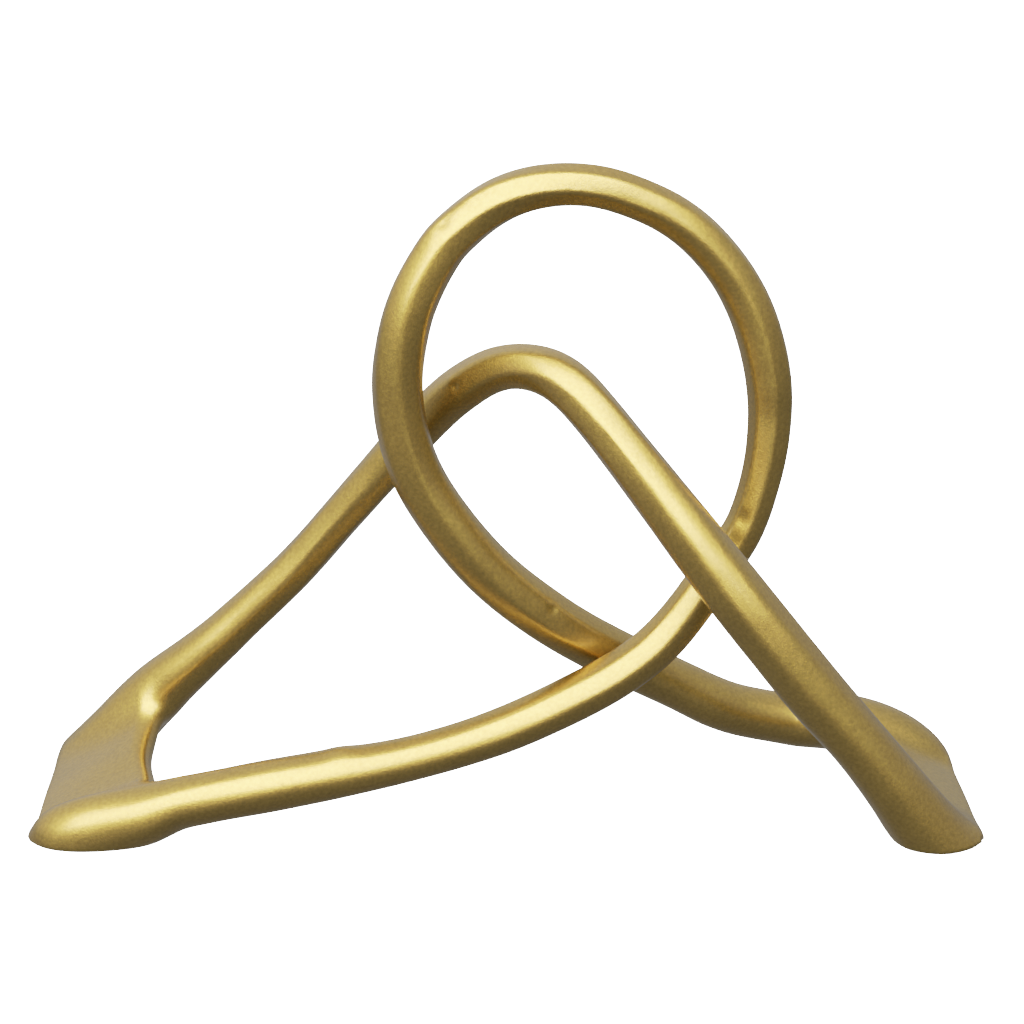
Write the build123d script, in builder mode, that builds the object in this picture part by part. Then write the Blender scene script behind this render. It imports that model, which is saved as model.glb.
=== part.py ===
from build123d import *
from math import radians, tan
import os

os.makedirs("parts", exist_ok=True)

# Envelope of the knot, felt pads included
knot_width = 374.0
knot_depth = 101.0
knot_height = 254.0

# The strand: one rod that swells and thins along its length
rod_diameter = 18.0

# Felt pads, sunk in pockets under the soles and standing a little proud of them
pad_thickness = 1.5
pad_diameter = 14.0
pad_pocket_depth = 1.1
pad_clearance = 0.1
sole_height = pad_thickness - pad_pocket_depth

# Joints between castings: a dowel in two blind bores, and a V groove filled with weld that leaves a wall
# round the bores
dowel_diameter = 6.0
dowel_length = 22.0
dowel_chamfer = 0.6
dowel_clearance = 0.05
bore_end_gap = 1.0
bore_wall = 1.9
groove_angle = 70.0

# Cuts run past what they cut by this much
overrun = 4.0

# Strands are lofted this many stations at a time
sections_per_span = 3

# The strand's centre line as stations. A row gives the place across the width, over the depth and up the
# height as shares of half the width, half the depth and the height. Its third number moves the strand
# back by a share of the rod's diameter, so that strands pass each other wherever they cross. The last
# number is the local diameter as a share of the rod's diameter.
# Arch: from the back of the left foot over the peak to the front of the right foot
arch_shares = (
    (-0.652, 0.72, 0.01, 0.192, 1.11),
    (-0.548, 0.63, 0.23, 0.264, 0.98),
    (-0.448, 0.50, 0.54, 0.336, 0.95),
    (-0.356, 0.36, 0.84, 0.416, 0.93),
    (-0.271, 0.22, 1.09, 0.490, 0.94),
    (-0.201, 0.10, 1.23, 0.553, 0.98),
    (-0.140, 0.04, 1.12, 0.607, 1.00),
    (-0.087, 0.00, 0.91, 0.647, 1.00),
    (-0.029, 0.00, 0.54, 0.680, 0.96),
    (0.027, 0.00, 0.17, 0.697, 0.96),
    (0.086, 0.00, -0.24, 0.697, 1.01),
    (0.138, 0.00, -0.62, 0.679, 1.04),
    (0.192, 0.00, -0.98, 0.640, 1.04),
    (0.249, 0.00, -1.30, 0.591, 1.07),
    (0.321, -0.08, -1.39, 0.526, 1.13),
    (0.390, -0.18, -1.35, 0.462, 1.21),
    (0.469, -0.31, -1.15, 0.388, 1.27),
    (0.547, -0.46, -0.81, 0.317, 1.27),
    (0.627, -0.61, -0.41, 0.243, 1.28),
    (0.707, -0.75, -0.01, 0.167, 1.34),
)

# Loop: from the back of the right foot, low behind the other strands, round the ring and down again to
# the front of the left foot
loop_shares = (
    (0.726, 0.82, 0.00, 0.062, 1.21),
    (0.619, 0.76, 0.00, 0.071, 1.18),
    (0.526, 0.63, 0.13, 0.091, 1.18),
    (0.459, 0.46, 0.38, 0.115, 1.16),
    (0.394, 0.26, 0.78, 0.144, 1.13),
    (0.293, 0.04, 1.08, 0.190, 1.14),
    (0.185, 0.00, 0.82, 0.242, 1.15),
    (0.097, 0.00, 0.46, 0.293, 1.16),
    (-0.006, 0.00, 0.13, 0.361, 1.16),
    (-0.091, 0.00, -0.08, 0.438, 1.14),
    (-0.160, 0.00, -0.19, 0.520, 1.11),
    (-0.193, 0.00, -0.25, 0.589, 1.09),
    (-0.206, 0.00, -0.29, 0.652, 1.07),
    (-0.204, 0.00, -0.32, 0.712, 1.06),
    (-0.179, 0.00, -0.35, 0.795, 1.03),
    (-0.128, 0.00, -0.32, 0.867, 0.99),
    (-0.091, 0.00, -0.26, 0.900, 0.97),
    (-0.020, 0.00, -0.15, 0.940, 0.93),
    (0.062, 0.00, -0.02, 0.962, 0.90),
    (0.150, 0.00, 0.12, 0.966, 0.85),
    (0.239, 0.00, 0.25, 0.952, 0.88),
    (0.351, 0.00, 0.40, 0.912, 0.88),
    (0.441, 0.00, 0.51, 0.849, 0.91),
    (0.505, 0.00, 0.58, 0.770, 0.96),
    (0.542, 0.00, 0.61, 0.678, 0.98),
    (0.549, 0.00, 0.60, 0.606, 0.94),
    (0.541, 0.00, 0.57, 0.537, 0.89),
    (0.518, 0.00, 0.52, 0.466, 0.88),
    (0.493, 0.00, 0.47, 0.423, 0.90),
    (0.448, 0.00, 0.40, 0.373, 0.92),
    (0.404, 0.00, 0.30, 0.325, 0.96),
    (0.356, 0.00, 0.19, 0.279, 0.99),
    (0.301, 0.00, 0.01, 0.242, 1.00),
    (0.232, 0.00, -0.18, 0.211, 1.02),
    (0.155, -0.06, -0.27, 0.186, 1.04),
    (0.038, -0.20, -0.20, 0.152, 1.01),
    (-0.082, -0.33, -0.11, 0.126, 0.97),
    (-0.205, -0.45, -0.08, 0.109, 0.97),
    (-0.329, -0.57, -0.04, 0.099, 1.07),
    (-0.450, -0.66, 0.00, 0.088, 1.11),
    (-0.573, -0.72, 0.00, 0.075, 1.09),
)

# Each foot has a leg, where the arch runs on straight into the floor and is cut off flat. A row gives the
# place as shares of half the width, half the depth and the height, then the thickness over the depth and
# the height across the strand as shares of the rod's diameter.
left_leg_shares = (
    (-0.768, 0.77, 0.116, 1.22, 1.36),
    (-0.857, 0.78, 0.043, 1.19, 1.42),
    (-0.944, 0.79, -0.028, 1.17, 1.44),
    (-1.031, 0.80, -0.099, 1.17, 1.44),
)
right_leg_shares = (
    (0.713, -0.752, 0.171, 1.34, 1.22),
    (0.800, -0.733, 0.089, 1.49, 1.32),
    (0.892, -0.699, -0.002, 1.62, 1.52),
    (0.967, -0.673, -0.065, 1.65, 1.51),
)

# The other strand of each foot runs out along the floor in a blunt nose, in rows as for the legs
left_nose_shares = (
    (-0.652, -0.735, 0.063, 1.16, 1.14),
    (-0.722, -0.730, 0.045, 1.33, 1.28),
    (-0.802, -0.725, 0.026, 1.34, 1.46),
    (-0.866, -0.715, 0.010, 1.32, 1.52),
    (-0.917, -0.695, -0.004, 1.14, 1.36),
    (-0.954, -0.665, -0.016, 0.58, 0.83),
)
right_nose_shares = (
    (0.670, 0.77, 0.064, 1.21, 1.21),
    (0.749, 0.77, 0.063, 1.28, 1.30),
    (0.820, 0.76, 0.050, 1.34, 1.36),
    (0.880, 0.74, 0.031, 1.34, 1.34),
    (0.926, 0.70, 0.012, 1.18, 1.20),
    (0.963, 0.65, -0.008, 0.74, 0.90),
)

# Between leg and nose lies a web that slopes from the fork down to the outer edge of the sole. A row, one
# for each place over the depth, gives that place, the fork's edge across and up, the outer edge across and
# up, and the thickness, as shares of half the depth, half the width, the height and the rod's diameter.
left_web_shares = (
    (0.79, -0.790, 0.062, -0.982, -0.008, 0.50),
    (0.61, -0.768, 0.062, -0.996, -0.020, 0.58),
    (0.36, -0.759, 0.057, -0.996, -0.024, 0.62),
    (0.04, -0.747, 0.055, -0.993, -0.024, 0.64),
    (-0.30, -0.727, 0.059, -0.984, -0.020, 0.64),
    (-0.63, -0.701, 0.059, -0.970, -0.016, 0.64),
)
right_web_shares = (
    (-0.66, 0.800, 0.060, 0.984, -0.004, 0.50),
    (-0.40, 0.760, 0.062, 0.997, -0.020, 0.58),
    (-0.10, 0.758, 0.057, 1.002, -0.024, 0.62),
    (0.24, 0.749, 0.056, 1.004, -0.024, 0.64),
    (0.52, 0.727, 0.061, 1.000, -0.020, 0.64),
    (0.77, 0.701, 0.059, 0.988, -0.016, 0.64),
)
web_edge_share = 0.46

# Pads under the two ends of each sole, across and over the depth
pad_shares = {
    "pad_left_back": (-0.91, 0.70),
    "pad_left_front": (-0.87, -0.66),
    "pad_right_front": (0.90, -0.66),
    "pad_right_back": (0.90, 0.72),
}


def place(x_share, y_share, z_share, pass_share=0):
    """Point of the sculpture from shares of its sizes."""
    return Vector(
        x_share * knot_width / 2,
        y_share * knot_depth / 2 + pass_share * rod_diameter,
        z_share * knot_height,
    )


def strand_points(rows):
    """Centre, half thickness over the depth and half height at each station of a strand."""
    points = []
    for x_share, y_share, pass_share, z_share, diameter_share in rows:
        radius = diameter_share * rod_diameter / 2
        points.append((place(x_share, y_share, z_share, pass_share), radius, radius))
    return points


def end_points(rows):
    """The same for the rows of a leg or a nose."""
    points = []
    for x_share, y_share, z_share, depth_share, height_share in rows:
        half_depth = depth_share * rod_diameter / 2
        half_height = height_share * rod_diameter / 2
        points.append((place(x_share, y_share, z_share), half_depth, half_height))
    return points


def cross_sections(points):
    """Planes square to a path, X over the depth, each with the two half sizes of the strand there."""
    sections = []
    depth_way = Vector(0, 1, 0)
    for number, (centre, half_depth, half_height) in enumerate(points):
        before = points[max(number - 1, 0)][0]
        after = points[min(number + 1, len(points) - 1)][0]
        tangent = (after - before).normalized()
        across = depth_way - tangent * tangent.dot(depth_way)
        plane = Plane(origin=centre, x_dir=across, z_dir=tangent)
        sections.append((plane, half_depth, half_height))
    return sections


def oval(half_depth, half_height):
    """Closed curve of four quarters of an ellipse."""
    with BuildLine() as outline:
        for quarter in range(4):
            EllipticalCenterArc((0, 0), half_depth, half_height, start_angle=90 * quarter, arc_size=90)
    return outline.line


def span(sections, first, last):
    """Smooth piece of a strand from one section to another, shaped by the sections beyond each end."""
    low = max(first - 1, 0)
    high = min(last + 1, len(sections) - 1)
    with BuildPart() as piece:
        for plane, half_depth, half_height in sections[low : high + 1]:
            with BuildSketch(plane):
                with BuildLine():
                    add(oval(half_depth, half_height))
                make_face()
        loft()
        for end, beyond in ((first, low), (last, high)):
            if beyond != end:
                plane, half_depth, half_height = sections[end]
                length = (sections[beyond][0].origin - plane.origin).length + overrun
                with BuildSketch(plane):
                    Circle(max(half_depth, half_height) + overrun)
                extrude(amount=length if beyond > end else -length, mode=Mode.SUBTRACT)
    return piece.part


def strand(sections, first, last):
    """Strand from one section to another, lofted a few sections at a time so that it stays fair."""
    ends = list(range(first, last, sections_per_span))
    if len(ends) > 1 and last - ends[-1] == 1:
        ends.pop()
    ends.append(last)
    with BuildPart() as rod:
        for start, end in zip(ends, ends[1:]):
            add(span(sections, start, end))
    return rod.part


def web(rows):
    """Plate between a leg and a nose, from sections square to the depth."""
    with BuildPart() as plate:
        for y_share, inner_x_share, inner_z_share, outer_x_share, outer_z_share, thickness_share in rows:
            inner = place(inner_x_share, y_share, inner_z_share)
            outer = place(outer_x_share, y_share, outer_z_share)
            thickness = thickness_share * rod_diameter
            reach = outer - inner
            with BuildSketch(Plane(origin=(inner + outer) / 2, x_dir=reach, z_dir=(0, 1, 0))):
                RectangleRounded(reach.length, thickness, web_edge_share * thickness)
        loft()
    return plate.part


def weld_groove(section):
    """Ring with a V section, point inwards, round the strand at one section."""
    plane, radius, _ = section
    root_radius = dowel_diameter / 2 + dowel_clearance + bore_wall
    outer_radius = radius + overrun
    half_mouth = (outer_radius - root_radius) * tan(radians(groove_angle / 2))
    with BuildPart() as ring:
        with BuildSketch(Plane(origin=plane.origin, x_dir=plane.x_dir, z_dir=-plane.y_dir)):
            with BuildLine():
                Polyline(
                    (root_radius, 0),
                    (outer_radius, half_mouth),
                    (outer_radius, -half_mouth),
                    close=True,
                )
            make_face()
        revolve(axis=Axis(plane.origin, plane.z_dir))
    return ring.part


def joint_space(section):
    """What a joint takes from the castings on both sides of it: the groove and the dowel's bore."""
    with BuildPart() as space:
        add(weld_groove(section))
        with BuildSketch(section[0]):
            Circle(dowel_diameter / 2 + dowel_clearance)
        extrude(amount=dowel_length / 2 + bore_end_gap, both=True)
    return space.part


def sole_cut():
    """Everything lower than the soles, and the pockets for the pads."""
    with BuildPart() as cut:
        with BuildSketch(Plane.XY.offset(sole_height)):
            Rectangle(knot_width + 2 * rod_diameter, knot_depth + 2 * rod_diameter)
        extrude(amount=-3 * rod_diameter)
        for x_share, y_share in pad_shares.values():
            with BuildSketch(Plane.XY.offset(sole_height)):
                with Locations(place(x_share, y_share, 0)):
                    Circle(pad_diameter / 2 + pad_clearance)
            extrude(amount=pad_pocket_depth)
    return cut.part


# Sections of the two strands, and of the four paths that carry them on into the feet. Each path starts one
# station before its seam, so its seam is its section 1.
arch = cross_sections(strand_points(arch_shares))
loop = cross_sections(strand_points(loop_shares))
left_leg = cross_sections(strand_points(arch_shares[2::-1]) + end_points(left_leg_shares))
left_nose = cross_sections(strand_points(loop_shares[37:]) + end_points(left_nose_shares))
right_leg = cross_sections(strand_points(arch_shares[16:19]) + end_points(right_leg_shares))
right_nose = cross_sections(strand_points(loop_shares[3:0:-1]) + end_points(right_nose_shares))

# Seams between castings, in order along the strand
riser_foot_seam = arch[1]
arch_riser_seam = arch[7]
arch_foot_seam = arch[17]
tail_foot_seam = loop[2]
ring_tail_seam = loop[7]
ring_crown_seam = loop[16]
strand_ring_seam = loop[28]
strand_foot_seam = loop[38]

# Left foot: the arch's back leg and the front strand, joined by a web, on one flat sole
with BuildPart() as left_foot:
    add(strand(left_leg, 1, len(left_leg) - 1))
    add(strand(left_nose, 1, len(left_nose) - 1))
    add(web(left_web_shares))
    add(sole_cut(), mode=Mode.SUBTRACT)
    add(joint_space(riser_foot_seam), mode=Mode.SUBTRACT)
    add(joint_space(strand_foot_seam), mode=Mode.SUBTRACT)
left_foot.part.label = "left_foot"
export_step(left_foot.part, "parts/left_foot.step")

# Left riser: up from the left foot, behind the ring, to the seam beside the peak
with BuildPart() as left_riser:
    add(strand(arch, 1, 7))
    add(joint_space(riser_foot_seam), mode=Mode.SUBTRACT)
    add(joint_space(arch_riser_seam), mode=Mode.SUBTRACT)
left_riser.part.label = "left_riser"
export_step(left_riser.part, "parts/left_riser.step")

# Arch: over the peak and down in front of the ring and the tail
with BuildPart() as arch_top:
    add(strand(arch, 7, 17))
    add(joint_space(arch_riser_seam), mode=Mode.SUBTRACT)
    add(joint_space(arch_foot_seam), mode=Mode.SUBTRACT)
arch_top.part.label = "arch_top"
export_step(arch_top.part, "parts/arch_top.step")

# Right foot: the arch's front leg and the tail, joined by a web, on one flat sole
with BuildPart() as right_foot:
    add(strand(right_leg, 1, len(right_leg) - 1))
    add(strand(right_nose, 1, len(right_nose) - 1))
    add(web(right_web_shares))
    add(sole_cut(), mode=Mode.SUBTRACT)
    add(joint_space(arch_foot_seam), mode=Mode.SUBTRACT)
    add(joint_space(tail_foot_seam), mode=Mode.SUBTRACT)
right_foot.part.label = "right_foot"
export_step(right_foot.part, "parts/right_foot.step")

# Tail: from the back of the right foot, low behind the other strands, to the foot of the ring
with BuildPart() as tail:
    add(strand(loop, 2, 7))
    add(joint_space(tail_foot_seam), mode=Mode.SUBTRACT)
    add(joint_space(ring_tail_seam), mode=Mode.SUBTRACT)
tail.part.label = "tail"
export_step(tail.part, "parts/tail.step")

# Ring, left side: in front of the riser and up
with BuildPart() as ring_left:
    add(strand(loop, 7, 16))
    add(joint_space(ring_tail_seam), mode=Mode.SUBTRACT)
    add(joint_space(ring_crown_seam), mode=Mode.SUBTRACT)
ring_left.part.label = "ring_left"
export_step(ring_left.part, "parts/ring_left.step")

# Ring, crown and right side: over the top and down to just above the arch's leg
with BuildPart() as ring_crown:
    add(strand(loop, 16, 28))
    add(joint_space(ring_crown_seam), mode=Mode.SUBTRACT)
    add(joint_space(strand_ring_seam), mode=Mode.SUBTRACT)
ring_crown.part.label = "ring_crown"
export_step(ring_crown.part, "parts/ring_crown.step")

# Lower strand: behind the arch's leg, in front of the tail and down to the front of the left foot
with BuildPart() as lower_strand:
    add(strand(loop, 28, 38))
    add(joint_space(strand_ring_seam), mode=Mode.SUBTRACT)
    add(joint_space(strand_foot_seam), mode=Mode.SUBTRACT)
lower_strand.part.label = "lower_strand"
export_step(lower_strand.part, "parts/lower_strand.step")

# Joints: the path each lies on and its section there
joint_places = {
    "riser_foot": (left_leg, 1),
    "arch_riser": (arch, 7),
    "arch_foot": (right_leg, 1),
    "tail_foot": (right_nose, 1),
    "ring_tail": (loop, 7),
    "ring_crown": (loop, 16),
    "strand_ring": (loop, 28),
    "strand_foot": (left_nose, 1),
}
for joint_name, (path, index) in joint_places.items():
    # Weld: fills the groove, dressed flush with the strand
    with BuildPart() as weld:
        add(span(path, max(index - 1, 0), index + 1))
        add(weld_groove(path[index]), mode=Mode.INTERSECT)
    weld.part.label = f"{joint_name}_weld"
    export_step(weld.part, f"parts/{joint_name}_weld.step")

    # Dowel: lines up the two castings, half its length in each
    with BuildPart() as dowel:
        with BuildSketch(path[index][0]):
            Circle(dowel_diameter / 2)
        extrude(amount=dowel_length / 2, both=True)
        chamfer(dowel.edges().filter_by(GeomType.CIRCLE), length=dowel_chamfer)
    dowel.part.label = f"{joint_name}_dowel"
    export_step(dowel.part, f"parts/{joint_name}_dowel.step")

# Felt pads: glued into the pockets under the soles, and what the sculpture stands on
for pad_name, (x_share, y_share) in pad_shares.items():
    with BuildPart() as pad:
        with BuildSketch():
            with Locations(place(x_share, y_share, 0)):
                Circle(pad_diameter / 2)
        extrude(amount=pad_thickness)
    pad.part.label = pad_name
    export_step(pad.part, f"parts/{pad_name}.step")
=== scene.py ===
import math

import bmesh
import bpy
import numpy as np
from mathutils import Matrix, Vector, kdtree


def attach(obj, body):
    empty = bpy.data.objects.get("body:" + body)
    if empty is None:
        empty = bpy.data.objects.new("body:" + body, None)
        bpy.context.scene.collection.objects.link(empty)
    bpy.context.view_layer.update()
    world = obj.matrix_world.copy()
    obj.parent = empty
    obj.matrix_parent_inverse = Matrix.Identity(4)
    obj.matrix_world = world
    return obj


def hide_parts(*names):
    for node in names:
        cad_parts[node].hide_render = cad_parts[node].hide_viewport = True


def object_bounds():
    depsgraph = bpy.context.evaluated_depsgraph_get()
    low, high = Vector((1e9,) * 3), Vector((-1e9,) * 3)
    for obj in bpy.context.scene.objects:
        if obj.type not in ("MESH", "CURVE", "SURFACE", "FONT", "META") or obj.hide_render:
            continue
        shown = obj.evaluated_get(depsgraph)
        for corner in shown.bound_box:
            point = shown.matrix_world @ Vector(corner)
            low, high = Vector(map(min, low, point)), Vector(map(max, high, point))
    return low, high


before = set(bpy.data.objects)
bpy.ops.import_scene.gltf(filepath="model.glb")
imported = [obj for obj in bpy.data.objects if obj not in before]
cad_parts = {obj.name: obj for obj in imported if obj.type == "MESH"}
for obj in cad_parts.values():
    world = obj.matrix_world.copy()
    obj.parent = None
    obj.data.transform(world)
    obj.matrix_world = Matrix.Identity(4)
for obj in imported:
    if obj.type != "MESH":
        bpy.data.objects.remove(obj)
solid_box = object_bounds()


# Strands between the feet: aluminium castings butted end to end on dowels, and welded round in a
# V groove. Castings and welds were dressed together by hand with file and abrasive, which leaves
# soft lengthwise flats, slow waves and small marks, and were sprayed with satin gold lacquer.

# Half the width, half the depth and the height that the shares below are of, and the rod's diameter
KNOT = (0.187, 0.0505, 0.254)
ROD = 0.018

# Stations along a strand's centre. A row gives, as shares, the place across, over the depth, further
# back by rod diameters, and up, then the thickness over the depth and the height across the strand.
# Arch: from the back of the left foot over the peak to the front of the right foot
ARCH_SHARES = (
    (-1.031, 0.8, 0, -0.099, 1.17, 1.44), (-0.944, 0.79, 0, -0.028, 1.17, 1.44),
    (-0.857, 0.78, 0, 0.043, 1.19, 1.42), (-0.768, 0.77, 0, 0.116, 1.22, 1.36),
    (-0.652, 0.72, 0.01, 0.192, 1.11, 1.11), (-0.548, 0.63, 0.23, 0.264, 0.98, 0.98),
    (-0.448, 0.5, 0.54, 0.336, 0.95, 0.95), (-0.356, 0.36, 0.84, 0.416, 0.93, 0.93),
    (-0.271, 0.22, 1.09, 0.49, 0.94, 0.94), (-0.201, 0.1, 1.23, 0.553, 0.98, 0.98),
    (-0.14, 0.04, 1.12, 0.607, 1, 1), (-0.087, 0, 0.91, 0.647, 1, 1),
    (-0.029, 0, 0.54, 0.68, 0.96, 0.96), (0.027, 0, 0.17, 0.697, 0.96, 0.96),
    (0.086, 0, -0.24, 0.697, 1.01, 1.01), (0.138, 0, -0.62, 0.679, 1.04, 1.04),
    (0.192, 0, -0.98, 0.64, 1.04, 1.04), (0.249, 0, -1.3, 0.591, 1.07, 1.07),
    (0.321, -0.08, -1.39, 0.526, 1.13, 1.13), (0.39, -0.18, -1.35, 0.462, 1.21, 1.21),
    (0.469, -0.31, -1.15, 0.388, 1.27, 1.27), (0.547, -0.46, -0.81, 0.317, 1.27, 1.27),
    (0.627, -0.61, -0.41, 0.243, 1.28, 1.28), (0.713, -0.752, 0, 0.171, 1.34, 1.22),
    (0.8, -0.733, 0, 0.089, 1.49, 1.32), (0.892, -0.699, 0, -0.002, 1.62, 1.52),
    (0.967, -0.673, 0, -0.065, 1.65, 1.51),
)
# Loop: from the back of the right foot round the ring to the front of the left foot
LOOP_SHARES = (
    (0.963, 0.65, 0, -0.008, 0.74, 0.9), (0.926, 0.7, 0, 0.012, 1.18, 1.2),
    (0.88, 0.74, 0, 0.031, 1.34, 1.34), (0.82, 0.76, 0, 0.05, 1.34, 1.36),
    (0.749, 0.77, 0, 0.063, 1.28, 1.3), (0.67, 0.77, 0, 0.064, 1.21, 1.21),
    (0.619, 0.76, 0, 0.071, 1.18, 1.18), (0.526, 0.63, 0.13, 0.091, 1.18, 1.18),
    (0.459, 0.46, 0.38, 0.115, 1.16, 1.16), (0.394, 0.26, 0.78, 0.144, 1.13, 1.13),
    (0.293, 0.04, 1.08, 0.19, 1.14, 1.14), (0.185, 0, 0.82, 0.242, 1.15, 1.15),
    (0.097, 0, 0.46, 0.293, 1.16, 1.16), (-0.006, 0, 0.13, 0.361, 1.16, 1.16),
    (-0.091, 0, -0.08, 0.438, 1.14, 1.14), (-0.16, 0, -0.19, 0.52, 1.11, 1.11),
    (-0.193, 0, -0.25, 0.589, 1.09, 1.09), (-0.206, 0, -0.29, 0.652, 1.07, 1.07),
    (-0.204, 0, -0.32, 0.712, 1.06, 1.06), (-0.179, 0, -0.35, 0.795, 1.03, 1.03),
    (-0.128, 0, -0.32, 0.867, 0.99, 0.99), (-0.091, 0, -0.26, 0.9, 0.97, 0.97),
    (-0.02, 0, -0.15, 0.94, 0.93, 0.93), (0.062, 0, -0.02, 0.962, 0.9, 0.9),
    (0.15, 0, 0.12, 0.966, 0.85, 0.85), (0.239, 0, 0.25, 0.952, 0.88, 0.88),
    (0.351, 0, 0.4, 0.912, 0.88, 0.88), (0.441, 0, 0.51, 0.849, 0.91, 0.91),
    (0.505, 0, 0.58, 0.77, 0.96, 0.96), (0.542, 0, 0.61, 0.678, 0.98, 0.98),
    (0.549, 0, 0.6, 0.606, 0.94, 0.94), (0.541, 0, 0.57, 0.537, 0.89, 0.89),
    (0.518, 0, 0.52, 0.466, 0.88, 0.88), (0.493, 0, 0.47, 0.423, 0.9, 0.9),
    (0.448, 0, 0.4, 0.373, 0.92, 0.92), (0.404, 0, 0.3, 0.325, 0.96, 0.96),
    (0.356, 0, 0.19, 0.279, 0.99, 0.99), (0.301, 0, 0.01, 0.242, 1, 1),
    (0.232, 0, -0.18, 0.211, 1.02, 1.02), (0.155, -0.06, -0.27, 0.186, 1.04, 1.04),
    (0.038, -0.2, -0.2, 0.152, 1.01, 1.01), (-0.082, -0.33, -0.11, 0.126, 0.97, 0.97),
    (-0.205, -0.45, -0.08, 0.109, 0.97, 0.97), (-0.329, -0.57, -0.04, 0.099, 1.07, 1.07),
    (-0.45, -0.66, 0, 0.088, 1.11, 1.11), (-0.573, -0.72, 0, 0.075, 1.09, 1.09),
    (-0.652, -0.735, 0, 0.063, 1.16, 1.14), (-0.722, -0.73, 0, 0.045, 1.33, 1.28),
    (-0.802, -0.725, 0, 0.026, 1.34, 1.46), (-0.866, -0.715, 0, 0.01, 1.32, 1.52),
    (-0.917, -0.695, 0, -0.004, 1.14, 1.36), (-0.954, -0.665, 0, -0.016, 0.58, 0.83),
)
POINTS_PER_SPAN = 24
FAIRING_PASSES = 90

# Slow changes are sums of this many waves, divided so that they stay between about -1 and 1. Their
# lengths are the patch size by the first number, spread by the two others
WAVES_MIXED = 7
WAVE_SUM = 6
WAVE_LENGTH = 1.6
WAVE_SPREAD = (0.7, 1.4)

# Flats round the section: their depth as a share of true flats, the level that counts as round, how
# the ridges between them are softened, and how far they drift round the strand (both in radians)
FLATS = 7
FLAT_DEPTH = 0.75
ROUND_LEVEL = 0.955
RIDGE_SOFTNESS = (-0.12, -0.06, 0.0, 0.06, 0.12)
FLAT_DRIFT = 0.35
DRIFT_PATCH = 0.09

# The flats come and go along the strand, and fade towards the feet
FLAT_SHARE = 0.8
FLAT_SWING = 0.5
SWING_PATCH = 0.05
FLATS_LEFT_LOW = 0.25
FADE_HEIGHTS = (0.02, 0.09)

# Slow waves in the skin: height, patch size and seed
WAVES = ((0.00020, 0.030, 3), (0.00004, 0.010, 4))

# Small marks in the dressed skin: place, reach over the surface and depth, which is negative where a
# mark stands out. By twos: the nick by the peak, the seam low on the ring, the dents over the right
# crossing, the ripple high on the ring, the lower strand's bump and step, and the ring's narrow place
MARKS = (
    (-0.0178, 0.0073, 0.1681, 0.0018, 0.0004), (-0.0193, 0.0088, 0.1701, 0.0018, -0.0003),
    (0.0201, -0.0007, 0.0814, 0.0022, 0.0004), (0.0181, -0.0006, 0.0847, 0.0015, 0.0002),
    (0.0921, 0.0026, 0.1171, 0.0030, 0.0004), (0.0896, 0.0008, 0.1080, 0.0030, 0.0003),
    (-0.0210, -0.0105, 0.2332, 0.0030, 0.0004), (-0.0145, -0.0100, 0.2378, 0.0030, -0.0003),
    (-0.0615, -0.0298, 0.0346, 0.0060, -0.0008), (-0.1216, -0.0442, 0.0081, 0.0060, 0.0006),
    (0.1010, 0.0027, 0.1561, 0.0080, 0.0004),
)

# The skin has a ring of points every 0.9 mm along a strand, and so many points in a ring. Its normals
# come from points this far on along the strand and round it
RING_STEP = 0.0009
RING_POINTS = 72
NUDGE = 0.01


def unit(ways):
    return ways / np.maximum(np.linalg.norm(ways, axis=1), 1e-12)[:, None]


def fair(rows):
    """Closely spaced rows on a smooth curve through the given ones."""
    rows = np.array(rows, float)
    padded = np.vstack((2 * rows[:1] - rows[1:2], rows, 2 * rows[-1:] - rows[-2:-1]))
    share = (np.arange(POINTS_PER_SPAN) / POINTS_PER_SPAN)[:, None]
    spans = [
        here + (after - before) / 2 * share
        + (before - 2.5 * here + 2 * after - beyond / 2) * share ** 2
        + (1.5 * here - before / 2 - 1.5 * after + beyond / 2) * share ** 3
        for before, here, after, beyond in zip(padded, padded[1:], padded[2:], padded[3:])
    ]
    line = np.vstack((*spans, rows[-1:]))
    for _ in range(FAIRING_PASSES):
        line[1:-1] += (line[:-2] + line[2:] - 2 * line[1:-1]) / 4
    return line


def strand_line(shares):
    """A strand's centre, its two half sizes, its direction and its back, in close rows."""
    line = fair([
        (x * KNOT[0], y * KNOT[1] + back * ROD, z * KNOT[2], thick * ROD / 2, high * ROD / 2)
        for x, y, back, z, thick, high in shares
    ])
    along = unit(np.gradient(line[:, :3], axis=0))
    return np.hstack((line, along, unit(np.array((0.0, 1.0, 0.0)) - along * along[:, 1:2])))


def on_line(line, station):
    """Centre, half sizes, direction, back and side of a strand at places between its stations."""
    place = np.clip(station * POINTS_PER_SPAN, 0, len(line) - 1)
    low = np.minimum(place.astype(int), len(line) - 2)
    share = (place - low)[:, None]
    row = line[low] * (1 - share) + line[low + 1] * share
    along = unit(row[:, 5:8])
    back = unit(row[:, 8:11] - along * (row[:, 8:11] * along).sum(axis=1)[:, None])
    return row[:, :3], row[:, 3:4], row[:, 4:5], along, back, np.cross(along, back)


def way_travelled(line):
    """Way travelled along a strand at each of its rows."""
    steps = np.linalg.norm(np.diff(line[:, :3], axis=0), axis=1)
    return np.concatenate(([0.0], np.cumsum(steps)))


def ease(values, low, high):
    """Smooth rise from 0 at low to 1 at high."""
    share = np.clip((values - low) / (high - low), 0.0, 1.0)
    return share * share * (3 - 2 * share)


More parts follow.
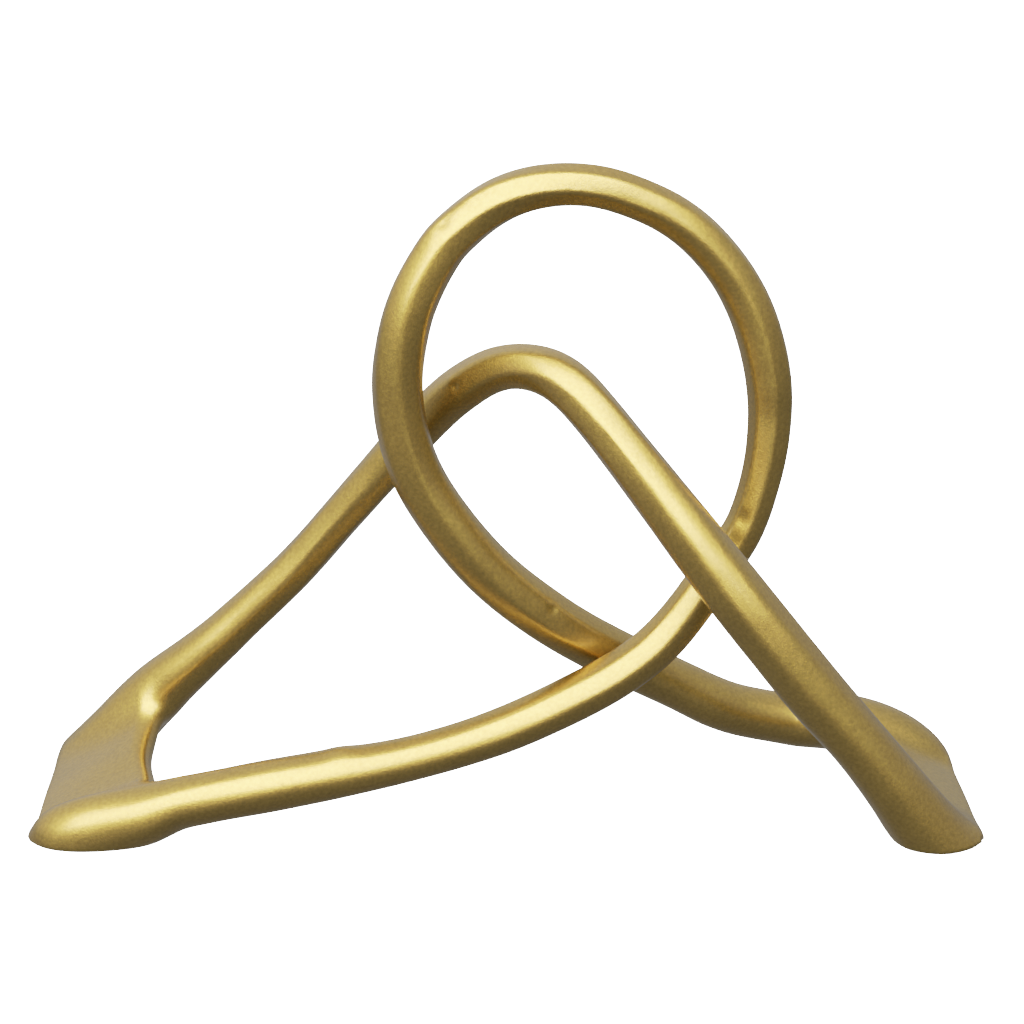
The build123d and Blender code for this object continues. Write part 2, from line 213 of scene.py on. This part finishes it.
def wander(points, size, seed):
    """Slow change over the metal, between about -1 and 1, in patches of the given size."""
    chance = np.random.default_rng(seed)
    ways = unit(chance.normal(size=(WAVES_MIXED, 3)))
    waves = ways * (chance.uniform(*WAVE_SPREAD, (WAVES_MIXED, 1)) * 2 * math.pi / (WAVE_LENGTH * size))
    starts = chance.uniform(0.0, 2 * math.pi, WAVES_MIXED)
    return np.sin(points @ waves.T + starts).sum(axis=1) / WAVE_SUM


def relief(points, turn):
    """How far the flats stand out of the round section, as a share of the radius."""
    bent = turn + FLAT_DRIFT * wander(points, DRIFT_PATCH, 1)
    flat = 2 * math.pi / FLATS
    section = sum(
        math.cos(flat / 2) / np.cos((((bent + shift) / flat) % 1.0 - 0.5) * flat)
        for shift in RIDGE_SOFTNESS
    ) / len(RIDGE_SOFTNESS)
    show = FLAT_DEPTH * (FLAT_SHARE + FLAT_SWING * wander(points, SWING_PATCH, 2))
    show = show * (FLATS_LEFT_LOW + (1 - FLATS_LEFT_LOW) * ease(points[:, 2], *FADE_HEIGHTS))
    return (section - ROUND_LEVEL) * show


def unevenness(points):
    """How far slow waves and small marks lift the skin."""
    lift = sum(height * wander(points, size, seed) for height, size, seed in WAVES)
    for x, y, z, reach, depth in MARKS:
        lift -= depth * np.exp(-((points - (x, y, z)) ** 2).sum(axis=1) / reach ** 2)
    return lift


def skin_at(line, station, turn):
    """Points of a strand's skin at places along it and turns round it."""
    centre, thick, high, _, back, aside = on_line(line, station)
    arm = aside * high * np.sin(turn)[:, None] - back * thick * np.cos(turn)[:, None]
    points = centre + arm
    lift = unit(arm) * unevenness(points)[:, None]
    return points + arm * relief(points, turn)[:, None] + lift


def tube(line, first, last):
    """Dressed skin of a strand between two places along it: points, faces and normals."""
    station, travelled = np.arange(len(line)) / POINTS_PER_SPAN, way_travelled(line)
    start, end = np.interp((first, last), station, travelled)
    rings = max(2, round((end - start) / RING_STEP)) + 1
    at = np.repeat(np.interp(np.linspace(start, end, rings), travelled, station), RING_POINTS)
    turn = np.tile(np.arange(RING_POINTS) * 2 * math.pi / RING_POINTS, rings)
    points = skin_at(line, at, turn)
    ways = unit(np.cross(
        skin_at(line, at + NUDGE, turn) - skin_at(line, at - NUDGE, turn),
        skin_at(line, at, turn + NUDGE) - skin_at(line, at, turn - NUDGE),
    ))
    ring, spot = np.meshgrid(np.arange(rings - 1), np.arange(RING_POINTS), indexing="ij")
    here, beside = ring * RING_POINTS + spot, ring * RING_POINTS + (spot + 1) % RING_POINTS
    faces = np.stack((here, here + RING_POINTS, beside + RING_POINTS, beside), axis=-1)
    return points.tolist(), faces.reshape(-1, 4).tolist(), ways.tolist()


class Socket:
    """A node's output that takes part in shader maths."""

    def __init__(self, tree, link):
        self.tree = tree
        self.link = link

    def maths(self, operation, first, second):
        node = self.tree.nodes.new("ShaderNodeMath")
        node.operation = operation
        for place, value in enumerate((first, second)):
            if isinstance(value, Socket):
                self.tree.links.new(value.link, node.inputs[place])
            else:
                node.inputs[place].default_value = value
        return Socket(self.tree, node.outputs[0])

    def __add__(self, other):
        return self.maths("ADD", self, other)

    def __radd__(self, other):
        return self.maths("ADD", other, self)

    def __sub__(self, other):
        return self.maths("SUBTRACT", self, other)

    def __rsub__(self, other):
        return self.maths("SUBTRACT", other, self)

    def __mul__(self, other):
        return self.maths("MULTIPLY", self, other)

    def __rmul__(self, other):
        return self.maths("MULTIPLY", other, self)


class Finish:
    """A node tree, of a material or of the room, with one way of adding any node."""

    def __init__(self, owner, shader="Principled BSDF"):
        owner.use_nodes = True
        self.owner = owner
        self.tree = owner.node_tree
        self.shader = self.tree.nodes[shader]

    def node(self, kind, settings=None, output=0, **inputs):
        node = self.tree.nodes.new("ShaderNode" + kind)
        for name, value in (settings or {}).items():
            if name == "stops":
                ramp = node.color_ramp
                while len(ramp.elements) < len(value):
                    ramp.elements.new(1.0)
                for element, (position, colour) in zip(ramp.elements, value):
                    element.position = position
                    element.color = colour
            else:
                setattr(node, name, value)
        for name, value in inputs.items():
            self.feed(node, name, value)
        return Socket(self.tree, node.outputs[output])

    def feed(self, node, name, value):
        """Set a node's input by name, or by number where the name is _ and the number."""
        key = int(name[1:]) if name[0] == "_" else name.replace("_", " ")
        if isinstance(value, Socket):
            self.tree.links.new(value.link, node.inputs[key])
        else:
            node.inputs[key].default_value = value

    def set(self, name, value):
        self.feed(self.shader, name, value)


def gold_lacquer():
    """Satin gold lacquer with metal flake, a little cloudy where it was sprayed thicker."""
    gold = Finish(bpy.data.materials.new("satin_gold_lacquer"))
    place = gold.node("TexCoord", output=3)
    cloud = gold.node("TexNoise", Vector=place, Scale=28.0, Detail=3.0)
    flake = gold.node("TexNoise", Vector=place, Scale=1500.0, Detail=2.0, Roughness=0.6)
    grain = gold.node("TexNoise", Vector=place, Scale=700.0, Detail=3.0)
    tone = 0.4 * cloud + 1.3 * grain - 0.35
    colour = gold.node("Mix", {"data_type": "RGBA"}, output=2, Factor=tone,
                       _6=(0.36, 0.238, 0.048, 1.0), _7=(0.57, 0.388, 0.090, 1.0))
    gold.set("Base_Color", colour)
    gold.set("Metallic", 1.0)
    gold.set("Roughness", 0.30 + 0.10 * cloud + 0.04 * grain)
    gold.set("Coat_Weight", 1.0)
    gold.set("Coat_Roughness", 0.22)
    gold.set("Normal", gold.node("Bump", Height=flake, Strength=0.5, Distance=0.0002))
    return gold.owner


def open_rims(faces):
    """Sides of a piece that have no neighbour, gathered rim by rim."""
    sides = {(a, b) for face in faces for a, b in zip(face, (*face[1:], face[0]))}
    rim_sides = sorted((a, b) for a, b in sides if (b, a) not in sides)
    next_on = {point: point for side in rim_sides for point in side}

    def rim(point):
        while next_on[point] != point:
            point = next_on[point]
        return point

    for a, b in rim_sides:
        next_on[rim(a)] = rim(b)
    rims = {}
    for a, b in rim_sides:
        rims.setdefault(rim(a), []).append((a, b))
    return rims.values()


def strand_piece(name, places, faces, ways, slot):
    """One casting or weld, closed at its ends, in place of its plain solid."""
    for sides in open_rims(faces):
        faces += [(b, a, len(places)) for a, b in sides]
        places.append(np.mean([places[a] for a, _ in sides], axis=0).tolist())
        ways.append((0.0, 0.0, 1.0))
    mesh = bpy.data.meshes.new(name + "_dressed")
    mesh.from_pydata(np.clip(places, *solid_box).tolist(), [], faces)
    mesh.polygons.foreach_set("use_smooth", np.ones(len(mesh.polygons), bool))
    mesh.normals_split_custom_set_from_vertices(ways)
    mesh.materials.append(lacquer)
    piece = bpy.data.objects.new(name + "_dressed", mesh)
    bpy.context.scene.collection.objects.link(piece)
    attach(piece, "root")
    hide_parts(name)


# Welds with their stations, and the castings between each weld and the next
ARCH_WELDS = (("riser_foot_weld", 5), ("arch_riser_weld", 11), ("arch_foot_weld", 21))
ARCH_CASTINGS = ("left_riser", "arch_top")
LOOP_WELDS = (
    ("tail_foot_weld", 7), ("ring_tail_weld", 12), ("ring_crown_weld", 21),
    ("strand_ring_weld", 33), ("strand_foot_weld", 43),
)
LOOP_CASTINGS = ("tail", "ring_left", "ring_crown", "lower_strand")

# A weld's groove runs down at this slope to a root that leaves a wall round the dowel's bore
GROOVE_ROOT = 0.00495
GROOVE_SLOPE = math.tan(math.radians(35))

lacquer = gold_lacquer()
arch = strand_line(ARCH_SHARES)
loop = strand_line(LOOP_SHARES)
seams = {}
for line, welds, castings in ((arch, ARCH_WELDS, ARCH_CASTINGS), (loop, LOOP_WELDS, LOOP_CASTINGS)):
    station, travelled = np.arange(len(line)) / POINTS_PER_SPAN, way_travelled(line)
    for name, at in welds:
        half = (line[at * POINTS_PER_SPAN, 3] - GROOVE_ROOT) * GROOVE_SLOPE
        middle = travelled[at * POINTS_PER_SPAN]
        seams[name] = np.interp((middle - half, middle + half), travelled, station)
        strand_piece(name, *tube(line, *seams[name]), "weld_metal")
    for name, (before, _), (after, _) in zip(castings, welds, welds[1:]):
        strand_piece(name, *tube(line, seams[before][1], seams[after][0]), "gold_metal")


# Feet: two aluminium castings. In each, one strand's leg and the other's nose are cast together with
# a web that slopes from the fork down to the sole's outer edge. The skin runs together in hand-worn
# hollows where they meet, and is cut flat at the sole and dressed straight along the outer edge.

# A web row gives, as shares, the place over the depth, the fork's edge across and up, the outer edge
# across and up, and the thickness
LEFT_WEB_SHARES = (
    (-0.634, -0.701, 0.057, -1.005, -0.029, 0.62), (-0.297, -0.727, 0.057, -1.011, -0.031, 0.64),
    (0.04, -0.754, 0.065, -1.017, -0.034, 0.67), (0.356, -0.757, 0.081, -1.022, -0.036, 0.64),
    (0.554, -0.751, 0.106, -1.027, -0.038, 0.61), (0.792, -0.741, 0.128, -1.03, -0.038, 0.58),
)
RIGHT_WEB_SHARES = (
    (-0.659, 0.8, 0.055, 1.025, -0.032, 0.6), (-0.396, 0.759, 0.061, 1.029, -0.032, 0.64),
    (-0.099, 0.751, 0.061, 1.032, -0.032, 0.67), (0.238, 0.743, 0.069, 1.033, -0.034, 0.69),
    (0.515, 0.717, 0.079, 1.033, -0.035, 0.71), (0.772, 0.695, 0.087, 1.032, -0.035, 0.71),
)
WEB_RING_POINTS = 16

# The sole's height over the floor, and reaches of the roundings: the strands' buried ends, the web's
# hollows along the back and the front strand, the outer edge and the sole's edge
SOLE_HEIGHT = 0.0004
END_CAP = 0.004
BACK_HOLLOW = 0.012
FRONT_HOLLOW = 0.010
OUTER_EDGE = 0.003
SOLE_EDGE = 0.0022

# The outer edge by side, left -1 and right 1: how far out it lies on the sole at half the depth, and
# how much further with the way back. Its face leans inwards this much with the height
EDGE_LINES = {-1: (0.1845, 0.055), 1: (0.1866, 0.020)}
EDGE_TILT = 0.35

# A rough skin of so fine a grid settles on the true surface in passes. A pass moves a point no
# further than the longest step, and trusts no slope under the gentlest one
ROUGH_STEP = 0.0015
SETTLING_PASSES = 18
LONGEST_STEP = 0.002
GENTLEST_SLOPE = 0.3
NEAREST_STRAND_TRIES = 3

# Faces this near to a seam are cut by its plane
CUT_REACH = 0.04


def web_rows(shares):
    return fair([
        (y * KNOT[1], inner_x * KNOT[0], inner_z * KNOT[2], outer_x * KNOT[0], outer_z * KNOT[2],
         thick * ROD / 2)
        for y, inner_x, inner_z, outer_x, outer_z, thick in shares
    ])


def off_strand(line, first, last, points):
    """How far points are off a stretch of dressed strand, and the way out from it."""
    rows = line[first * POINTS_PER_SPAN:last * POINTS_PER_SPAN + 1]
    nearby = kdtree.KDTree(len(rows))
    for index, row in enumerate(rows):
        nearby.insert(row[:3], index)
    nearby.balance()
    place = np.array([nearby.find(point)[1] for point in points.tolist()], float)
    step = np.linalg.norm(np.gradient(rows[:, :3], axis=0), axis=1)
    for _ in range(NEAREST_STRAND_TRIES):
        centre, _, _, along, _, _ = on_line(line, first + place / POINTS_PER_SPAN)
        ahead = ((points - centre) * along).sum(axis=1)
        ahead /= np.interp(place, np.arange(len(rows)), step)
        place = np.clip(place + ahead, 0, len(rows) - 1)
    centre, thick, high, along, back, aside = on_line(line, first + place / POINTS_PER_SPAN)
    arm = points - centre
    over_back, over_side, over_end = (
        (arm * way).sum(axis=1)[:, None] for way in (back, aside, along)
    )
    round_off = np.sqrt(
        (over_back / thick) ** 2 + (over_side / high) ** 2 + (over_end / END_CAP) ** 2
    )[:, 0]
    turn = np.arctan2(over_side / high, -over_back / thick)[:, 0]
    off = round_off - 1 - relief(points, turn)
    off = off * np.linalg.norm(arm, axis=1) / np.maximum(round_off, 1e-9)
    way = back * over_back / thick ** 2 + aside * over_side / high ** 2
    return off, unit(way + along * over_end / END_CAP ** 2)


def off_web(rows, points):
    """The same for a web."""
    y = np.clip(points[:, 1], rows[0, 0], rows[-1, 0])
    inner_x, inner_z, outer_x, outer_z, half = (
        np.interp(y, rows[:, 0], rows[:, at]) for at in range(1, 6)
    )
    run = np.stack((outer_x - inner_x, outer_z - inner_z), axis=1)
    inset = half[:, None] / np.linalg.norm(run, axis=1)[:, None]
    start = np.stack((inner_x, inner_z), axis=1) + run * inset
    run = run * (1 - 2 * inset)
    share = ((points[:, ::2] - start) * run).sum(axis=1) / (run * run).sum(axis=1)
    reach = points[:, ::2] - start - run * np.clip(share, 0.0, 1.0)[:, None]
    way = np.stack((reach[:, 0], points[:, 1] - y, reach[:, 1]), axis=1)
    return np.linalg.norm(way, axis=1) - half, unit(way)


def merged(first, second, reach):
    """Two surfaces run together in a hollow of the given reach."""
    (near, near_way), (far, far_way) = first, second
    swap = far < near
    near, far = np.where(swap, far, near), np.where(swap, near, far)
    swap = swap[:, None]
    near_way, far_way = np.where(swap, far_way, near_way), np.where(swap, near_way, far_way)
    share = np.maximum(reach - (far - near), 0.0) / reach
    lean = (share ** 2 / 2)[:, None]
    return near - share ** 3 * reach / 6, near_way * (1 - lean) + far_way * lean


def off_foot(points, side, stretches, web):
    """How far points are off a foot, cut flat at its sole and dressed along its outer edge."""
    back, front = (off_strand(line, first, last, points) for line, first, last in stretches)
    off, way = merged(merged(off_web(web, points), back, BACK_HOLLOW), front, FRONT_HOLLOW)
    off = off - unevenness(points)
    everywhere = np.ones((len(points), 1))
    up = np.array((0.0, 0.0, 1.0)) * everywhere
    edge, slant = EDGE_LINES[side]
    outward = np.array([[side, -slant, EDGE_TILT]]) / math.hypot(1, slant, EDGE_TILT) * everywhere
    beyond = ((points - (side * edge, 0.0, SOLE_HEIGHT)) * outward).sum(axis=1)
    inside = merged((-off, -way), (-beyond, -outward), OUTER_EDGE)
    depth, inward = merged(inside, (points[:, 2] - SOLE_HEIGHT, up), SOLE_EDGE)
    return -depth, -inward


def skin_normals(points, quads):
    """Outward unit normals at the corners of a skin of quads."""
    faces = np.cross(points[quads[:, 2]] - points[quads[:, 0]],
                     points[quads[:, 3]] - points[quads[:, 1]])
    normals = np.zeros_like(points)
    for axis in range(3):
        for corner in range(4):
            normals[:, axis] += np.bincount(quads[:, corner], faces[:, axis], len(points))
    return unit(normals)


def pull_even(points, edges):
    """Step from each point to the mean of its neighbours."""
    total = np.zeros_like(points)
    count = np.bincount(edges.ravel(), minlength=len(points))
    for axis in range(3):
        total[:, axis] = np.bincount(edges[:, 0], points[edges[:, 1], axis], len(points))
        total[:, axis] += np.bincount(edges[:, 1], points[edges[:, 0], axis], len(points))
    return total / count[:, None] - points


def add_web(gathered, rows):
    """A web's plain plate, round at both edges."""
    rings = []
    for y, inner_x, inner_z, outer_x, outer_z, half in rows[::POINTS_PER_SPAN // 2].tolist():
        lean = math.atan2(outer_z - inner_z, outer_x - inner_x)
        ring = []
        for number in range(WEB_RING_POINTS):
            angle = lean + math.pi / 2 + number * 2 * math.pi / WEB_RING_POINTS
            at_inner = number < WEB_RING_POINTS // 2
            inward, x, z = (1, inner_x, inner_z) if at_inner else (-1, outer_x, outer_z)
            x += inward * half * math.cos(lean) + half * math.cos(angle)
            z += inward * half * math.sin(lean) + half * math.sin(angle)
            ring.append(gathered.verts.new((x, y, z)))
        rings.append(ring)
    for ring, following in zip(rings, rings[1:]):
        for at in range(WEB_RING_POINTS):
            after = (at + 1) % WEB_RING_POINTS
            gathered.faces.new((ring[at], ring[after], following[after], following[at]))
    gathered.faces.new(rings[0][::-1])
    gathered.faces.new(rings[-1])


def rough_skin():
    """One even skin of quads over all castings, welds, dowels and webs: its points and quads."""
    gathered = bmesh.new()
    for name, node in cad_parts.items():
        if not name.startswith("pad"):
            gathered.from_mesh(node.data)
    for shares in (LEFT_WEB_SHARES, RIGHT_WEB_SHARES):
        add_web(gathered, web_rows(shares))
    rough_mesh = bpy.data.meshes.new("rough_strand")
    gathered.to_mesh(rough_mesh)
    gathered.free()
    rough = bpy.data.objects.new("rough_strand", rough_mesh)
    bpy.context.scene.collection.objects.link(rough)
    even = rough.modifiers.new("even", "REMESH")
    even.mode = "VOXEL"
    even.voxel_size = ROUGH_STEP
    rough.modifiers.new("finer", "SUBSURF").levels = 1
    seen = rough.evaluated_get(bpy.context.evaluated_depsgraph_get())
    mesh = bpy.data.meshes.new_from_object(seen)
    bpy.data.objects.remove(rough)
    points = np.empty(len(mesh.vertices) * 3)
    mesh.vertices.foreach_get("co", points)
    quads = np.empty(len(mesh.loops), np.int64)
    mesh.loops.foreach_get("vertex_index", quads)
    return points.reshape(-1, 3), quads.reshape(-1, 4)


def one_shell(points, quads):
    """The shell that reaches furthest out, without the small hollows inside it."""
    beside = {}
    for quad in quads.tolist():
        for at in quad:
            beside.setdefault(at, set()).update(quad)
    used = np.unique(quads)
    waiting = [int(used[np.argmax(np.abs(points[used, 0]))])]
    shell = set(waiting)
    while waiting:
        fresh = beside[waiting.pop()] - shell
        shell |= fresh
        waiting.extend(fresh)
    kept = np.zeros(len(points), bool)
    kept[list(shell)] = True
    return quads[kept[quads[:, 0]]]


def settled_foot(side, inner, top, stretches, web):
    """A foot's skin with a margin of both strands, settled on its true surface."""
    inside = (rough_points[:, 0] * side > inner) & (rough_points[:, 2] < top)
    quads = one_shell(rough_points, rough_quads[inside[rough_quads].all(axis=1)])
    used, corners = np.unique(quads, return_inverse=True)
    points, quads = rough_points[used], corners.reshape(-1, 4)
    sides = np.concatenate([quads[:, (at, (at + 1) % 4)] for at in range(4)])
    edges, count = np.unique(np.sort(sides, axis=1), axis=0, return_counts=True)
    free = np.ones(len(points))
    free[edges[count == 1].ravel()] = 0.0
    for _ in range(SETTLING_PASSES):
        normals = skin_normals(points, quads)
        step = pull_even(points, edges)
        step -= normals * (step * normals).sum(axis=1)[:, None]
        points = points + step * (0.5 * free)[:, None]
        off, way = off_foot(points, side, stretches, web)
        slope = np.maximum((way * way).sum(axis=1), GENTLEST_SLOPE)
        off = np.clip(off, -LONGEST_STEP, LONGEST_STEP) / slope
        points = points - way * off[:, None]
    return points, quads, skin_normals(points, quads)


def cut_foot(points, quads, normals, cuts):
    """The foot without its margins: points, faces and normals."""
    foot = bmesh.new()
    way = foot.verts.layers.float_vector.new("way")
    corners = [foot.verts.new(point) for point in points.tolist()]
    for corner, normal in zip(corners, normals.tolist()):
        corner[way] = normal
    for quad in quads.tolist():
        foot.faces.new([corners[at] for at in quad])
    for line, station, outward in cuts:
        centre, _, _, along, _, _ = on_line(line, np.array([station]))
        middle, facing = Vector(centre[0]), Vector(along[0] * outward)
        near = [
            face for face in foot.faces if (face.calc_center_median() - middle).length < CUT_REACH
        ]
        near_edges = {edge for face in near for edge in face.edges}
        near_points = {vert for face in near for vert in face.verts}
        bmesh.ops.bisect_plane(foot, geom=[*near_points, *near_edges, *near], dist=1e-6,
                               plane_co=middle, plane_no=facing, clear_outer=True)
    foot.verts.index_update()
    places = [tuple(vert.co) for vert in foot.verts]
    ways = [tuple(vert[way]) for vert in foot.verts]
    faces = [[vert.index for vert in face.verts] for face in foot.faces]
    foot.free()
    return places, faces, ways


# A foot's side, how far out and how high its zone of the rough skin starts and ends, its back and its
# front strand from station to station, its web, and the seams that cut it off, with the way out
FEET = (
    ("left_foot", -1, 0.050, 0.085, ((arch, 0, 8), (loop, 40, 51)), LEFT_WEB_SHARES,
     ((arch, seams["riser_foot_weld"][0], 1), (loop, seams["strand_foot_weld"][1], -1))),
    ("right_foot", 1, 0.091, 0.092, ((loop, 0, 9), (arch, 19, 26)), RIGHT_WEB_SHARES,
     ((loop, seams["tail_foot_weld"][0], 1), (arch, seams["arch_foot_weld"][1], -1))),
)
rough_points, rough_quads = rough_skin()
for name, side, inner, top, stretches, web, cuts in FEET:
    settled = settled_foot(side, inner, top, stretches, web_rows(web))
    strand_piece(name, *cut_foot(*settled, cuts), "gold_metal")


# Dowels: one ground steel pin in blind bores inside each weld joint. It lines the two castings up
# before welding, and stays inside.
def ground_steel():
    """Bright steel with fine marks from centreless grinding."""
    steel = Finish(bpy.data.materials.new("ground_steel"))
    place = steel.node("TexCoord", output=3)
    marks = steel.node("TexNoise", Vector=place, Scale=900.0, Detail=4.0)
    colour = steel.node("Mix", {"data_type": "RGBA"}, output=2, Factor=marks,
                        _6=(0.50, 0.50, 0.51, 1.0), _7=(0.62, 0.62, 0.62, 1.0))
    steel.set("Base_Color", colour)
    steel.set("Metallic", 1.0)
    steel.set("Roughness", 0.22 + 0.14 * marks)
    steel.set("Normal", steel.node("Bump", Height=marks, Strength=0.15, Distance=0.0001))
    return steel.owner


steel = ground_steel()
for name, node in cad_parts.items():
    if name.endswith("_dowel"):
        node.data.materials.clear()
        node.data.materials.append(steel)


# Felt pads: four discs punched from pressed wool felt, glued into shallow pockets in the soles so
# that they stand a little proud of them.
def pressed_felt():
    """Grey-brown pressed wool, with a matted surface of short fibres."""
    felt = Finish(bpy.data.materials.new("pressed_felt"))
    place = felt.node("TexCoord", output=3)
    fibres = felt.node("TexNoise", Vector=place, Scale=2600.0, Detail=5.0, Distortion=1.6)
    tufts = felt.node("TexNoise", Vector=place, Scale=520.0, Detail=2.0)
    colour = felt.node("Mix", {"data_type": "RGBA"}, output=2, Factor=0.6 * fibres + 0.4 * tufts,
                       _6=(0.085, 0.070, 0.055, 1.0), _7=(0.20, 0.175, 0.145, 1.0))
    felt.set("Base_Color", colour)
    felt.set("Roughness", 0.85 + 0.12 * tufts)
    felt.set("Sheen_Weight", 0.35)
    height = 0.7 * fibres + 0.3 * tufts
    felt.set("Normal", felt.node("Bump", Height=height, Strength=0.6, Distance=0.0003))
    return felt.owner


felt = pressed_felt()
for name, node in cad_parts.items():
    if name.startswith("pad"):
        node.data.materials.clear()
        node.data.materials.append(felt)


# Studio: a white table lit from under so that it photographs plain white, one large soft light in
# front and above, and a room that is dim at the floor and pale overhead.
TABLE_REACH = 8.0
TABLE_GLOW = 6.0

LIGHT_PLACE = (-0.2, -0.75, 0.8)
LIGHT_AIM = (-0.15, 0.0, 0.13)
LIGHT_SIZE = (1.8, 1.18)
LIGHT_POWER = 34.0

# Room's grey by height, from straight down to straight up, and how the room dims towards the right
ROOM_GREYS = ((0.0, 0.20), (0.25, 0.29), (0.45, 0.34), (0.62, 0.72), (1.0, 1.0))
ROOM_STRENGTH = 0.93
ROOM_DIMMING = 0.25

# The picture's roll-off: brightness in the scene, and as shown
WHITE_LEVEL = 4.5
ROLL_OFF = (
    (0.15, 0.15), (0.3, 0.3), (0.6, 0.53), (1.0, 0.70), (1.6, 0.85), (2.4, 0.96), (3.4, 0.99),
)

floor_mesh = bpy.data.meshes.new("floor")
floor_mesh.from_pydata(
    [(x * TABLE_REACH, y * TABLE_REACH, 0) for x, y in ((-1, -1), (1, -1), (1, 1), (-1, 1))],
    [], [(0, 1, 2, 3)],
)
floor = bpy.data.objects.new("floor", floor_mesh)
bpy.context.scene.collection.objects.link(floor)
table = Finish(bpy.data.materials.new("white_table"))
table.set("Base_Color", (0.92, 0.92, 0.92, 1.0))
table.set("Roughness", 0.9)
table.set("Emission_Color", (1.0, 1.0, 1.0, 1.0))
table.set("Emission_Strength", TABLE_GLOW)
floor_mesh.materials.append(table.owner)
floor.visible_glossy = False
floor.visible_diffuse = False

light = bpy.data.lights.new("front_soft_box", "AREA")
light.shape = "RECTANGLE"
light.size, light.size_y = LIGHT_SIZE
light.energy = LIGHT_POWER
lamp = bpy.data.objects.new("front_soft_box", light)
lamp.location = LIGHT_PLACE
aim = Vector(LIGHT_AIM) - Vector(LIGHT_PLACE)
lamp.rotation_euler = aim.to_track_quat("-Z", "Y").to_euler()
bpy.context.scene.collection.objects.link(lamp)

room = bpy.data.worlds.new("room")
bpy.context.scene.world = room
walls = Finish(room, "Background")
direction = walls.node("TexCoord", output=0)
across = walls.node("SeparateXYZ", output=0, Vector=direction)
height = walls.node("SeparateXYZ", output=2, Vector=direction)
stops = [(position, (grey, grey, grey, 1.0)) for position, grey in ROOM_GREYS]
walls.set("Color", walls.node("ValToRGB", {"stops": stops}, Fac=0.5 + 0.5 * height))
walls.set("Strength", ROOM_STRENGTH - ROOM_DIMMING * across)

view = bpy.context.scene.view_settings
view.view_transform = "Standard"
view.use_curve_mapping = True
view.curve_mapping.white_level = (WHITE_LEVEL, WHITE_LEVEL, WHITE_LEVEL)
curve = view.curve_mapping.curves[3].points
curve[0].location, curve[1].location = (0.0, 0.0), (1.0, 1.0)
for bright, shown in ROLL_OFF:
    curve.new(bright / WHITE_LEVEL, shown)
view.curve_mapping.update()

camera = bpy.data.objects.new("camera", bpy.data.cameras.new("camera"))
camera.data.lens = 70.0
camera.data.sensor_width = 36.0
camera.location = (0.00397, -0.72422, 0.35588)
camera.rotation_euler = (math.radians(72.0), 0.0, 0.0)
bpy.context.scene.collection.objects.link(camera)
bpy.context.scene.camera = camera
